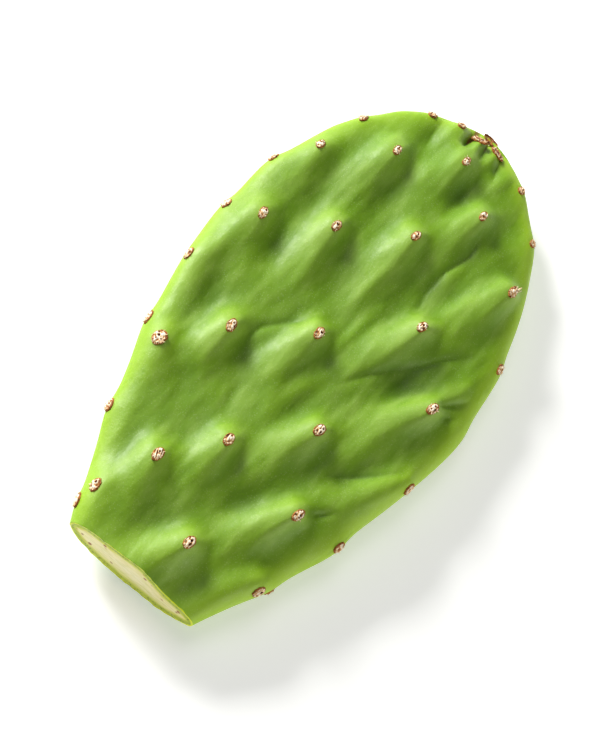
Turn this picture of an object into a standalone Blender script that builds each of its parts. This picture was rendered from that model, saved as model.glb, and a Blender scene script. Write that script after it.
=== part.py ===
"""A cut prickly pear pad lying on its back face, with every areole cushion as a piece of its own.

+Y runs from the cut end to the tip, +Z is up out of the surface the pad lies on, and the origin is the
middle of the bottom of the whole object. Lengths are in metres.
"""

import math

import bmesh
import bpy
import numpy as np
from mathutils import Matrix, Vector
from mathutils.bvhtree import BVHTree

# ---------------------------------------------------------------- driving dimensions
MM = 0.001
PAD_LENGTH = 204.8 * MM  # from the cut to the tip
HEEL = 26.0 * MM  # what is grown below the cut before the knife takes it off
WIDEST_AT = 110.0 * MM  # how far above the cut the pad starts to round over
BELLY_HEIGHT = 3.1 * MM  # underside between the tubercles, above the surface
CONTACT_CLEARANCE = 1.35 * MM  # no skin comes lower than this: the cushions carry the pad
TOP_CROWN = 0.16  # how much the upper face bulges, as a share of half the thickness
UNDER_CROWN = 0.03
BOW = 1.6 * MM  # lift of the tip, as a pad grows slightly hollow on one face

TUBERCLE_TOP = 2.5 * MM  # height of a tubercle on the upper face
TUBERCLE_UNDER = 1.9 * MM
TUBERCLE_RIM = 1.1 * MM
TUBERCLE_TAIL = 30.0 * MM  # how far its back runs down toward the cut
TUBERCLE_NOSE = 6.0 * MM  # how soon it drops off on the tip side
LEFT_FLANK = 8.5 * MM
RIGHT_FLANK = 5.6 * MM
BLEND = 0.35 * MM  # softness of the valleys where two tubercles meet

CUSHION_LONG = 4.8 * MM
CUSHION_WIDE = 4.0 * MM
CUSHION_HIGH = 1.1 * MM
GAP = 0.3 * MM  # between each cushion and the skin under it
PRESSED_UP_TO = 0.65 * MM  # skin this far over the clearance still has its cushion pressed on the surface
RIM_INSET = 6.0 * MM  # where the rounding of the rim is centred, in from the outline

SEGMENTS = 80  # around the pad
RINGS = 66  # along it

# Outline: distance above the cut, half width to the left, half width to the right, in mm.
# Past WIDEST_AT the two widths are multiplied by the rounding of the tip.
OUTLINE = [
    (-26, 20, 20),
    (0, 24.5, 25),
    (20, 32.5, 33),
    (40, 39.5, 41),
    (60, 45.5, 46),
    (80, 50.5, 50.5),
    (100, 54, 53.5),
    (120, 54.5, 53),
    (140, 55, 51.5),
    (160, 54.5, 50.5),
    (180, 54.5, 49.5),
    (195, 57, 48),
    (206, 62, 47),
]

# Section: distance above the cut, full thickness in mm, and how square the section is.
SECTION = [
    (-26, 15.0, 2.2),
    (0, 15.4, 2.3),
    (20, 16.2, 2.8),
    (50, 17.0, 3.8),
    (90, 16.8, 5.0),
    (130, 15.8, 5.2),
    (165, 14.6, 4.2),
    (190, 13.2, 3.0),
    (205, 12.6, 2.5),
]

# Areoles of the upper face: right of the middle line, and above the cut, in mm.
TOP_AREOLES = [
    (-26, 13), (7, 16), (33, 22),
    (-18, 32), (27, 47), (-4, 51),
    (-41, 65), (16, 74), (-27, 83), (50, 83),
    (-52, 97), (-4, 101), (40, 107),
    (-43, 123), (21, 127), (-22, 136),
    (0, 152), (-43, 158), (36, 161),
    (-23, 174), (13, 176), (-3, 189),
]

# Areoles of the face that the pad lies on.
UNDER_AREOLES = [
    (-13, 17), (17, 25), (-31, 41), (3, 45), (33, 62),
    (-17, 68), (14, 90), (-40, 93), (44, 100), (-10, 112),
    (29, 122), (-31, 131), (4, 141), (-12, 167), (27, 158),
    (10, 186),
]

# Areoles of the two long edges: above the cut in mm, side, and degrees up from the horizontal.
SIDE_AREOLES = [
    (7, -1, 15), (39, -1, 12), (71, -1, 20), (121, -1, 25),
    (146, -1, 18), (171, -1, -30),
    (52, 1, 15), (112, 1, -28), (139, 1, 30), (27, 1, -25),
]

# Areoles over the crown: right of the middle line in mm, and degrees up from the horizontal.
CROWN_AREOLES = [
    (-39, 25), (-22, 20), (-12, 30), (-6, 42), (-1, 15),
    (4, 35), (18, 30), (32, 25), (-30, -30), (10, -25),
]


# ---------------------------------------------------------------- small helpers
def material(name, rgb, roughness):
    """A Principled material of one colour."""
    made = bpy.data.materials.new(name)
    made.use_nodes = True
    shader = made.node_tree.nodes["Principled BSDF"]
    shader.inputs["Base Color"].default_value = (*rgb, 1.0)
    shader.inputs["Roughness"].default_value = roughness
    shader.inputs["Metallic"].default_value = 0.0
    made.diffuse_color = (*rgb, 1.0)
    return made


def curve_through(rows, column, at):
    """A smooth curve through one column of a table of stations, read at each distance."""
    xs = np.array([row[0] for row in rows], float) * MM
    ys = np.array([row[column] for row in rows], float)
    slopes = np.gradient(ys, xs)
    at = np.clip(at, xs[0], xs[-1])
    k = np.clip(np.searchsorted(xs, at, side="right") - 1, 0, len(xs) - 2)
    step = xs[k + 1] - xs[k]
    t = (at - xs[k]) / step
    start = (1 + 2 * t) * (1 - t) ** 2 * ys[k] + t * (1 - t) ** 2 * step * slopes[k]
    end = t**2 * (3 - 2 * t) * ys[k + 1] + t**2 * (t - 1) * step * slopes[k + 1]
    return start + end


def half_width(y, side):
    """Half width of the pad at a distance above the cut, on the left (-1) or the right (1)."""
    column = 1 if side < 0 else 2
    past = np.clip((y - WIDEST_AT) / (PAD_LENGTH - WIDEST_AT), 0.0, 1.0)
    below = np.clip(-y / HEEL, 0.0, 1.0)
    rounding = np.sqrt(np.maximum(1.0 - past**2.4, 0.0)) * np.sqrt(1.0 - below**4)
    return curve_through(OUTLINE, column, y) * MM * rounding


def half_thickness(y):
    """Half the thickness of the pad on its middle line, rounded off at both ends."""
    past = np.clip((y - WIDEST_AT) / (PAD_LENGTH - WIDEST_AT), 0.0, 1.0)
    below = np.clip(-y / HEEL, 0.0, 1.0)
    rounding = np.sqrt(np.maximum(1.0 - past**9, 0.0)) * np.sqrt(1.0 - below**6)
    return 0.5 * curve_through(SECTION, 1, y) * MM * rounding


def rim_height(y):
    """Height of the middle of the pad's thickness above the surface."""
    full = 0.5 * curve_through(SECTION, 1, y) * MM
    lift = BOW * np.clip((y - 130 * MM) / (75 * MM), 0.0, 1.0) ** 2
    return BELLY_HEIGHT + full + lift


def lean_of(x, y):
    """Sideways slope of the growth lines, which fan out from the cut end."""
    return 0.15 + 11.0 * x * (1.0 - y / 0.250)


def tubercle(x, y, centre, height):
    """Height over the skin of one tubercle: steep toward the tip, with a long back toward the cut."""
    ax, ay = centre
    lean = lean_of(ax, ay)
    length = math.hypot(1.0, lean)
    along = ((x - ax) * lean + (y - ay)) / length
    across = ((x - ax) - (y - ay) * lean) / length
    back = np.maximum(-along, 0.0)
    nose = np.maximum(along, 0.0)
    spread = 1.0 + back / (26 * MM)
    flank = np.where(across < 0, LEFT_FLANK, RIGHT_FLANK) * spread
    crest = 1.0 - back / TUBERCLE_TAIL - (nose / TUBERCLE_NOSE) ** 1.6
    return height * (crest - (np.abs(across) / flank) ** 1.8)


def relief(x, y, areoles, height):
    """All tubercles of one face joined, so that neighbours meet in a soft valley."""
    joined = np.ones_like(x)
    for ax, ay in areoles:
        joined += np.exp(tubercle(x, y, (ax * MM, ay * MM), height) / BLEND)
    return BLEND * np.log(joined)


def face_outward(mesh_builder):
    """Turns every face of a closed mesh to look out of it."""
    bmesh.ops.recalc_face_normals(mesh_builder, faces=mesh_builder.faces[:])
    if mesh_builder.calc_volume(signed=True) < 0:
        bmesh.ops.reverse_faces(mesh_builder, faces=mesh_builder.faces[:])
    mesh_builder.normal_update()


def inside_under(x_mm, y_mm):
    """The point inside the pad to look from, and the way to look, for a spot seen from straight above."""
    x, y = x_mm * MM, y_mm * MM
    left = -(float(half_width(y, -1)) - RIM_INSET)
    right = float(half_width(y, 1)) - RIM_INSET
    inner = min(max(x, left), right)
    sine = max(-0.9, min(0.9, (x - inner) / RIM_INSET))
    return Vector((inner, y, float(rim_height(y)))), Vector((sine, 0.0, math.sqrt(1.0 - sine**2)))


# ---------------------------------------------------------------- an empty scene and a collection
for leftover in list(bpy.data.objects):
    bpy.data.objects.remove(leftover, do_unlink=True)

home = bpy.data.collections.new("prickly_pear_pad")
bpy.context.scene.collection.children.link(home)

skin = material("pad_skin", (0.20, 0.36, 0.045), 0.42)
felt = material("areole_felt", (0.50, 0.36, 0.20), 0.90)


def add_object(name, mesh_builder, finish, smooth):
    """Turns a bmesh into a named object with one material."""
    mesh = bpy.data.meshes.new(name)
    mesh_builder.normal_update()
    mesh_builder.to_mesh(mesh)
    mesh_builder.free()
    mesh.materials.append(finish)
    for face in mesh.polygons:
        face.use_smooth = smooth
    made = bpy.data.objects.new(name, mesh)
    home.objects.link(made)
    return made


# ---------------------------------------------------------------- the pad
# A sphere gives one closed skin of rings and segments, and each of its points is sent to its place.
pad = bmesh.new()
bmesh.ops.create_uvsphere(pad, u_segments=SEGMENTS, v_segments=RINGS, radius=1.0)
points = np.array([vertex.co for vertex in pad.verts])

# Rings stand closer together toward the tip, where the outline turns fastest.
latitude = np.arccos(np.clip(points[:, 2], -1.0, 1.0)) / math.pi  # 0 at the tip, 1 at the heel
steps = np.concatenate([[0.0], 1.0 - 0.86 * np.exp(-np.arange(RINGS) / 4.0)])
places = np.cumsum(steps) / steps.sum()
from_tip = np.interp(latitude, np.linspace(0.0, 1.0, RINGS + 1), places)
along = PAD_LENGTH - from_tip * (PAD_LENGTH + HEEL)

# Around the section, points are spread half evenly and half crowded into the rims.
turn = np.arctan2(points[:, 1], points[:, 0])
even = 1.0 - np.abs(turn) / (math.pi / 2)
across = 0.5 * np.sin(even * math.pi / 2) + 0.5 * even
upper = points[:, 1] >= -1e-6
side = np.where(across < 0, -1.0, 1.0)
wide = np.where(across < 0, half_width(along, -1), half_width(along, 1))
square = curve_through(SECTION, 2, along)
profile = np.sqrt(np.maximum(1.0 - np.abs(across) ** square, 0.0))
crown = 1.0 + np.where(upper, TOP_CROWN, UNDER_CROWN) * (0.5 - across**2)
thick = half_thickness(along) * profile * crown
body = np.column_stack([
    across * wide,
    along,
    rim_height(along) + np.where(upper, thick, -thick),
])
for vertex, place in zip(pad.verts, body):
    vertex.co = place
face_outward(pad)
normals = np.array([vertex.normal for vertex in pad.verts])

# Tubercles on both faces die out toward the rim.
x, y = body[:, 0], body[:, 1]
fade = profile**1.5
lift = np.where(
    upper,
    relief(x, y, TOP_AREOLES, TUBERCLE_TOP),
    relief(x, y, UNDER_AREOLES, TUBERCLE_UNDER),
) * fade

# The upper face sinks on the right of the cut end, between two tubercles.
lift -= np.where(upper, 2.0 * MM, 0.0) * np.exp(-((x - 17 * MM) / (7 * MM)) ** 2 - (y / (12 * MM)) ** 2)


def rim_swelling(place):
    """A low swelling under an edge areole, longer on the side of the cut."""
    from_it = body - np.array(place)
    apart = from_it[:, 1]
    reach = np.where(apart < 0, 13 * MM, 4.5 * MM)
    off = np.hypot(from_it[:, 0], from_it[:, 2])
    return np.exp(-((apart / reach) ** 2) - (off / (5 * MM)) ** 2)


def side_centre(y_mm, which):
    """Centre of the rim's rounding on one long edge."""
    y = y_mm * MM
    return Vector((which * (float(half_width(y, which)) - RIM_INSET), y, float(rim_height(y))))


def crown_centre(x_mm):
    """Centre of the rim's rounding over the crown, on the line at this distance from the middle."""
    which = -1 if x_mm < 0 else 1
    stations = np.linspace(WIDEST_AT, PAD_LENGTH, 400)
    reach = half_width(stations, which)
    y = float(np.interp(abs(x_mm) * MM, reach[::-1], stations[::-1]))
    inward = Vector((0.0, WIDEST_AT, 0.0)) - Vector((x_mm * MM, y, 0.0))
    place = Vector((x_mm * MM, y, 0.0)) + inward.normalized() * RIM_INSET
    place.z = float(rim_height(y))
    return place


rim_spots = []
for y_mm, which, up in SIDE_AREOLES:
    ahead = Vector((which * math.cos(math.radians(up)), 0.0, math.sin(math.radians(up))))
    rim_spots.append((side_centre(y_mm, which), ahead))
for x_mm, up in CROWN_AREOLES:
    centre = crown_centre(x_mm)
    outward = Vector((centre.x, centre.y - WIDEST_AT, 0.0)).normalized() * math.cos(math.radians(up))
    rim_spots.append((centre, outward + Vector((0.0, 0.0, math.sin(math.radians(up))))))

for centre, ahead in rim_spots:
    lift += TUBERCLE_RIM * rim_swelling(centre + ahead * RIM_INSET)

shaped = body + normals * lift[:, None]
shaped[:, 2] = np.maximum(shaped[:, 2], CONTACT_CLEARANCE)
for vertex, place in zip(pad.verts, shaped):
    vertex.co = place

# One straight cut across the heel, as a knife takes a pad off the plant.
bmesh.ops.bisect_plane(
    pad,
    geom=pad.verts[:] + pad.edges[:] + pad.faces[:],
    plane_co=(0.0, 0.0, 0.0),
    plane_no=(0.0, 1.0, 0.0),
    clear_inner=True,
)
open_edges = [edge for edge in pad.edges if edge.is_boundary]
bmesh.ops.edgeloop_fill(pad, edges=open_edges)
face_outward(pad)
surface = BVHTree.FromBMesh(pad)
pieces = [add_object("pad", pad, skin, True)]


# ---------------------------------------------------------------- the areole cushions
def skin_at(centre, ahead):
    """The skin ahead of a point inside the pad: where it is, and which way it faces around there."""
    spot = surface.ray_cast(centre, ahead)[0]
    beside = ahead.orthogonal().normalized() * 1.6 * MM
    total = Vector()
    for quarter in range(8):
        start = centre + Matrix.Rotation(math.radians(45 * quarter), 3, ahead) @ beside
        found = surface.ray_cast(start, ahead)
        if found[0] is not None:
            total += found[1]
    return spot, total.normalized()


def cushion(name, spot, facing, lean):
    """A low oval button on the skin, longer along the growth line, lifted until it is clear of the skin."""
    growth = Vector((lean, 1.0, 0.0))
    growth = (growth - facing * growth.dot(facing)).normalized()
    beside = growth.cross(facing)
    frame = Matrix((beside, growth, facing)).transposed().to_4x4()
    button = bmesh.new()
    bmesh.ops.create_uvsphere(button, u_segments=12, v_segments=6, radius=1.0)
    bmesh.ops.bisect_plane(
        button,
        geom=button.verts[:] + button.edges[:] + button.faces[:],
        plane_co=(0.0, 0.0, 0.0),
        plane_no=(0.0, 0.0, 1.0),
        clear_inner=True,
    )
    bmesh.ops.edgeloop_fill(button, edges=[edge for edge in button.edges if edge.is_boundary])
    size = Matrix.Diagonal((CUSHION_WIDE / 2, CUSHION_LONG / 2, CUSHION_HIGH, 1.0))
    bmesh.ops.transform(button, matrix=frame @ size, verts=button.verts[:])
    rise = GAP
    for vertex in button.verts:
        if abs(vertex.co.dot(facing)) < 1e-7:
            near, outward, _, _ = surface.find_nearest(spot + vertex.co)
            rise = max(rise, GAP - (spot + vertex.co - near).dot(outward) + 0.02 * MM)
    bmesh.ops.translate(button, vec=spot + facing * rise, verts=button.verts[:])
    face_outward(button)
    return add_object(name, button, felt, True)


def pressed_cushion(name, spot, lean):
    """A cushion pressed flat under the pad: it stands on the surface and ends just short of the skin."""
    button = bmesh.new()
    height = spot.z - GAP
    bmesh.ops.create_cone(
        button, cap_ends=True, cap_tris=False, segments=16, radius1=0.5, radius2=0.44, depth=1.0
    )
    turned = Matrix.Rotation(-math.atan(lean), 4, "Z")
    size = Matrix.Diagonal((CUSHION_WIDE, CUSHION_LONG, height, 1.0))
    bmesh.ops.transform(button, matrix=turned @ size, verts=button.verts[:])
    bmesh.ops.translate(button, vec=(spot.x, spot.y, height / 2), verts=button.verts[:])
    face_outward(button)
    return add_object(name, button, felt, True)


for number, (x_mm, y_mm) in enumerate(TOP_AREOLES, 1):
    centre, ahead = inside_under(x_mm, y_mm)
    spot, facing = skin_at(centre, ahead)
    lean = lean_of(x_mm * MM, y_mm * MM)
    pieces.append(cushion(f"areole_top_{number:02d}", spot, facing, lean))

resting = 0
for number, (x_mm, y_mm) in enumerate(UNDER_AREOLES, 1):
    centre = Vector((x_mm * MM, y_mm * MM, float(rim_height(y_mm * MM))))
    spot, facing = skin_at(centre, Vector((0.0, 0.0, -1.0)))
    lean = lean_of(x_mm * MM, y_mm * MM)
    name = f"areole_under_{number:02d}"
    if spot.z < CONTACT_CLEARANCE + PRESSED_UP_TO:
        pieces.append(pressed_cushion(name, spot, lean))
        resting += 1
        print(name, "rests on the surface, skin at", round(spot.z / MM, 2), "mm")
    else:
        pieces.append(cushion(name, spot, facing, lean))
        print(name, "hangs clear, skin at", round(spot.z / MM, 2), "mm")

for number, (centre, ahead) in enumerate(rim_spots, 1):
    spot, facing = skin_at(centre, ahead)
    pieces.append(cushion(f"areole_rim_{number:02d}", spot, facing, lean_of(spot.x, spot.y)))

# ---------------------------------------------------------------- the origin under the middle of the object
corners = np.array([vertex.co for piece in pieces for vertex in piece.data.vertices])
low, high = corners.min(axis=0), corners.max(axis=0)
to_origin = Matrix.Translation((-(low[0] + high[0]) / 2, -(low[1] + high[1]) / 2, -low[2]))
for piece in pieces:
    piece.data.transform(to_origin)
for piece in pieces:
    if piece.name == "areole_under_07":
        under = np.array([vertex.co for vertex in piece.data.vertices])
        print("middle of the cushion that the rest mount is on, in mm", np.round(under.mean(axis=0) / MM, 2))
print("the cut is at y =", round(float(to_origin.translation.y) / MM, 2), "mm, the middle line at x =",
      round(float(to_origin.translation.x) / MM, 2), "mm")
print(len(pieces), "pieces,", resting, "cushions carry the pad, size in mm", np.round((high - low) / MM, 1))
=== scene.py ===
# %% [markdown]
# # A cut prickly pear pad
#
# A prickly pear pad is a flat green stem. It is mostly water, held in a tight waxy skin, and it carries
# rows of small felted cushions, the areoles, each on a low swelling called a tubercle.
# This lesson builds the pad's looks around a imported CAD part: the CAD says where everything is and how
# big it is, and each cell below adds one layer of the real thing, from the big shape to the finest dots.

import math

import bmesh
import bpy
import numpy as np
from mathutils import Matrix, Vector
from mathutils.bvhtree import BVHTree


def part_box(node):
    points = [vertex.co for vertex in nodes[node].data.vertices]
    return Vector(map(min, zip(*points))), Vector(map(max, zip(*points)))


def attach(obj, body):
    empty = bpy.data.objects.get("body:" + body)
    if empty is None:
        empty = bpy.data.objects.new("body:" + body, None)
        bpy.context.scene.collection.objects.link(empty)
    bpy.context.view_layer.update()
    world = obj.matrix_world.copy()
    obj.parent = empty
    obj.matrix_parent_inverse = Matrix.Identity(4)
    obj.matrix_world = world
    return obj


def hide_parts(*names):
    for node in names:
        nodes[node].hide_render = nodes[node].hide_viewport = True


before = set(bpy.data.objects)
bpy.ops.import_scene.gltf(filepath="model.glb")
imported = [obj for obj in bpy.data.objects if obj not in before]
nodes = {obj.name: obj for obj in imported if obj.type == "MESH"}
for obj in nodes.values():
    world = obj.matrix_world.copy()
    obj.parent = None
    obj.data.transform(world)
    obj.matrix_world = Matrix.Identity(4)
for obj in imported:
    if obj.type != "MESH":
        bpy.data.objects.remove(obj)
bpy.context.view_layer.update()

# %% [markdown]
# ## A ruler of our own
#
# The pad is measured from its cut end. All shapes below are worked out in millimetres,
# with x to the right of the pad's middle line, y up from the cut, and z up from the table. The middle of
# the cut face is read off the CAD pad, so nothing is typed in twice.

# %% Millimetres from the middle of the cut
MM = 0.001
pad_low, pad_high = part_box("pad")
cad_pad = nodes["pad"].data
cad_points = np.array([vertex.co for vertex in cad_pad.vertices])
on_the_cut = cad_points[cad_points[:, 1] < pad_low.y + 0.05 * MM]
cut_middle = np.array([0.5 * (on_the_cut[:, 0].min() + on_the_cut[:, 0].max()), pad_low.y, 0.0])
pad_length = (pad_high.y - pad_low.y) / MM
pad_height = (pad_high.z - pad_low.z) / MM
lowest_skin = pad_low.z / MM


def from_cut(point):
    """A point of the frame in our own millimetres."""
    return (np.array(point) - cut_middle) / MM


def in_frame(points):
    """Our own millimetres back in the frame, in metres."""
    return np.array(points) * MM + cut_middle


areole_at = {}
for name in nodes:
    if name.startswith("areole"):
        low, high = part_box(name)
        areole_at[name] = from_cut((low + high) / 2)
print("pad", round(pad_length, 1), "mm long,", round(pad_height, 1), "mm high,", len(areole_at), "areoles")

# %% [markdown]
# ## The outline
#
# The outline is what the eye checks first, so it is measured on the CAD pad. A plane across the pad cuts
# its edges in points, and the lowest and highest x of those points are the two sides at that distance
# from the cut. A little smoothing hides the facets of the CAD mesh.

# %% Measure the outline
cad_mm = from_cut(cad_points)
edge_ends = np.array([edge.vertices[:] for edge in cad_pad.edges])
edge_start, edge_stop = cad_mm[edge_ends[:, 0]], cad_mm[edge_ends[:, 1]]


def sides_at(y):
    """The left and the right side of the CAD pad at one distance from the cut."""
    crossing = (edge_start[:, 1] - y) * (edge_stop[:, 1] - y) < 0
    a, b = edge_start[crossing], edge_stop[crossing]
    t = (y - a[:, 1]) / (b[:, 1] - a[:, 1])
    x = a[:, 0] + t * (b[:, 0] - a[:, 0])
    return x.min(), x.max()


def smoothed(values, width):
    """A running average with soft ends."""
    reach = int(3 * width) + 1
    weights = np.exp(-0.5 * (np.arange(-reach, reach + 1) / width) ** 2)
    before = 2 * values[0] - values[reach:0:-1]
    beyond = 2 * values[-1] - values[-2:-reach - 2:-1]
    padded = np.concatenate([before, values, beyond])
    return np.convolve(padded, weights / weights.sum(), mode="valid")


TIP_ROUND = 1.2  # mm of the tip left to one smooth arc
survey_y = np.linspace(0.05, pad_length - TIP_ROUND, 700)
survey = np.array([sides_at(y) for y in survey_y])
left_side, right_side = smoothed(survey[:, 0], 9), smoothed(survey[:, 1], 9)
tip_x = 0.5 * (left_side[-1] + right_side[-1])
arc = np.linspace(0.0, 1.0, 40)[1:]
survey_y = np.concatenate([survey_y, pad_length - TIP_ROUND * (1 - arc)])
left_side = np.concatenate([left_side, tip_x + (left_side[-1] - tip_x) * np.sqrt(1 - arc)])
right_side = np.concatenate([right_side, tip_x + (right_side[-1] - tip_x) * np.sqrt(1 - arc)])
print("widest", round(float((right_side - left_side).max()), 1), "mm, cut end",
      round(float(right_side[0] - left_side[0]), 1), "mm wide")

# %% [markdown]
# ## The big shape
#
# A real pad starts as a tube near its stem and flattens as it widens. So a section across it is a fat
# lens at the cut, and a flat slab with rounded rims higher up. One formula gives both: in a
# superellipse the power says how square the section is. The table below gives thickness and squareness
# along the pad, as shares of the pad's own length and height.

# %% Thickness and squareness along the pad
SECTION = [  # share of the length, thickness as a share of the height, squareness above and below
    (0.00, 0.711, 2.5, 2.3),
    (0.10, 0.748, 3.6, 2.8),
    (0.24, 0.785, 6.0, 3.8),
    (0.44, 0.775, 8.5, 5.0),
    (0.635, 0.729, 9.0, 5.2),
    (0.80, 0.674, 6.0, 4.2),
    (0.925, 0.609, 3.6, 3.0),
    (1.00, 0.581, 2.5, 2.5),
]
BELLY_OVER_LOWEST = 1.75  # mm from the lowest tubercle up to the under face between tubercles
TIP_LIFT = 1.6  # mm that the tip bows up
TOP_CROWN, UNDER_CROWN = 0.05, 0.03


def along_table(column, y):
    """One column of the section table, smoothly read at a distance from the cut."""
    shares = np.array([row[0] for row in SECTION])
    values = np.array([row[column] for row in SECTION])
    slopes = np.gradient(values, shares)
    at = np.clip(np.asarray(y) / pad_length, 0.0, 1.0)
    k = np.clip(np.searchsorted(shares, at, side="right") - 1, 0, len(shares) - 2)
    step = shares[k + 1] - shares[k]
    t = (at - shares[k]) / step
    return (
        (1 + 2 * t) * (1 - t) ** 2 * values[k] + t * (1 - t) ** 2 * step * slopes[k]
        + t**2 * (3 - 2 * t) * values[k + 1] + t**2 * (t - 1) * step * slopes[k + 1]
    )


def full_thickness(y):
    return along_table(1, y) * pad_height


def half_thickness(y):
    """Half the thickness, rounded off at the tip."""
    past = np.clip((y / pad_length - 0.53) / 0.47, 0.0, 1.0)
    return 0.5 * full_thickness(y) * np.sqrt(np.maximum(1.0 - past**9, 0.0))


def rim_height(y):
    """Height of the middle of the thickness."""
    lift = TIP_LIFT * np.clip((y / pad_length - 0.634) / 0.366, 0.0, 1.0) ** 2
    return lowest_skin + BELLY_OVER_LOWEST + 0.5 * full_thickness(y) + lift


# %% [markdown]
# ## A net of rings
#
# The skin is a net of rings around the pad. Rings are spaced evenly along the outline, so they crowd
# together at the tip, and points are spaced evenly around each ring. That gives small, nearly square
# faces everywhere, which is what fine relief needs. The net has about as many faces as the model may have.

# %% Spread the rings and the points of each ring
RINGS = 284
TOP_STEPS, UNDER_STEPS = 178, 122
STEPS = TOP_STEPS + UNDER_STEPS

outline_step = np.hypot(np.diff(survey_y), 0.5 * np.diff(right_side - left_side))
walked = np.concatenate([[0.0], np.cumsum(outline_step)])
evenly = np.linspace(0.0, 1.0, RINGS)
evenly[1:4] = [0.0008, 0.0020, 0.0042]  # closer together beside the knife cut
ring_y = np.interp(evenly * walked[-1], walked, survey_y)
ring_y[0] = 0.0
ring_left = np.interp(ring_y, survey_y, left_side)
ring_right = np.interp(ring_y, survey_y, right_side)
ring_left[-1] = ring_right[-1] = tip_x

net = np.zeros((RINGS, STEPS, 3))
bulge = np.zeros((RINGS, STEPS))  # 1 on the middle line of either face, 0 on the rim
is_top = np.zeros((RINGS, STEPS), bool)
for k, y in enumerate(ring_y):
    half, rim = float(half_thickness(y)), float(rim_height(y))
    middle, reach = 0.5 * (ring_left[k] + ring_right[k]), 0.5 * (ring_right[k] - ring_left[k])
    column = 0
    for start, steps, crown, table_column in ((0.0, TOP_STEPS, TOP_CROWN, 2),
                                              (math.pi, UNDER_STEPS, UNDER_CROWN, 3)):
        square = float(along_table(table_column, y))
        turn = start + np.linspace(0.0, math.pi, 1500)
        s = np.sign(np.cos(turn)) * np.abs(np.cos(turn)) ** (2 / square)
        section = np.column_stack([
            middle + reach * s,
            rim + half * np.sin(turn) * (1 + crown * (0.5 - s**2)),
        ])
        length = np.concatenate([[0.0], np.cumsum(np.hypot(*np.diff(section, axis=0).T))])
        wanted = np.linspace(0.0, length[-1], steps + 1)[:-1]
        part = slice(column, column + steps)
        net[k, part, 0] = np.interp(wanted, length, section[:, 0])
        net[k, part, 1] = y
        net[k, part, 2] = np.interp(wanted, length, section[:, 1])
        bulge[k, part] = np.abs(np.sin(np.interp(wanted, length, turn)))
        is_top[k, part] = start == 0.0
        column += steps

across = np.roll(net, -1, axis=1) - np.roll(net, 1, axis=1)
up_pad = np.gradient(net, axis=0)
facing = np.cross(up_pad, across)
facing /= np.maximum(np.linalg.norm(facing, axis=2, keepdims=True), 1e-9)
ring_middle = np.broadcast_to((0.5 * (ring_left + ring_right))[:, None], bulge.shape)
ring_rim = np.broadcast_to(rim_height(ring_y)[:, None], bulge.shape)
outward = net - np.stack([ring_middle, net[..., 1], ring_rim], axis=2)
facing *= np.where((facing * outward).sum(axis=2, keepdims=True) < 0, -1.0, 1.0)
facing[-1] = (0.0, 1.0, 0.0)
print(RINGS, "rings of", STEPS, "points, about", round(float(np.median(np.diff(ring_y))), 2), "mm apart")

# %% [markdown]
# ## Tubercles
#
# Each areole sits near the top of a tubercle. A tubercle is a teardrop: it drops off quickly toward the
# tip of the pad, and it has a long back that widens and fades toward the cut. The backs fan out as the pad
# grew, and on its right side they are longer and sharper. So one growth rule shapes them all, and only the
# lean is given for each. Bell curves make the shape: they have no edge where they begin, and several of
# them simply add up, as soft tissue does where two swellings meet.

# %% Tubercles of the upper face
RELIEF = 2.15  # how strongly the upper face is swollen
SUNK = 1.95  # mm that the skin between tubercles lies lower, so that the areoles keep their height
LEAN = {  # how far each back leans sideways per mm toward the tip
    1: -0.3, 2: 0.45, 3: 0.5, 4: 0.0, 5: 0.45, 6: 0.1, 7: -0.2, 8: 0.35, 9: 0.1, 10: 0.55, 11: 0.0,
    12: 0.15, 13: 0.5, 14: 0.0, 15: 0.3, 16: 0.05, 17: 0.05, 18: 0.2, 19: 0.25, 20: 0.1, 21: 0.2, 22: 0.1,
}
TUBERCLE_HIGH = 2.6  # mm, less near the cut, on the rim and at the crown
HALF_WIDTH = 54.0  # mm from the middle line to either side, about


def grown_shape(centre, lean):
    """Lean, height, left and right flank, back and nose: backs get longer and sharper to the right."""
    side = centre[0] / HALF_WIDTH
    share = centre[1] / pad_length
    swelling = min(1.0, 0.65 + 2.2 * share) * min(1.0, 1.75 - 1.1 * abs(side)) * min(1.0, 2.9 - 2.3 * share)
    return lean, TUBERCLE_HIGH * swelling, 6.4 - side, 4.2 - 0.8 * side, 23.0 + 6.0 * side, 6.6 - 2.4 * side


def tubercle(x, y, centre, lean, high, left, right, back, nose):
    """Height over the skin of one tubercle, in millimetres."""
    length = math.hypot(1.0, lean)
    along = ((x - centre[0]) * lean + (y - centre[1])) / length
    aside = ((x - centre[0]) - (y - centre[1]) * lean) / length
    behind, ahead = np.maximum(-along, 0.0), np.maximum(along, 0.0)
    flank = np.where(aside < 0, left * (1.0 + behind / 45.0), right * (1.0 + behind / 28.0))
    steep = np.where(aside < 0, 2.6, 2.0)  # the left foot of a back is the crisper one
    return high * np.exp(-((behind / back) ** 1.6) - (ahead / nose) ** 2 - np.abs(aside / flank) ** steep)


x, y = net[..., 0], net[..., 1]
top_relief = np.zeros_like(x)
for number, lean in LEAN.items():
    centre = areole_at[f"areole_top_{number:02d}"]
    top_relief += tubercle(x, y, centre, *grown_shape(centre, lean))
print("tubercles up to", round(float(top_relief.max() * RELIEF), 2), "mm")
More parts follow.
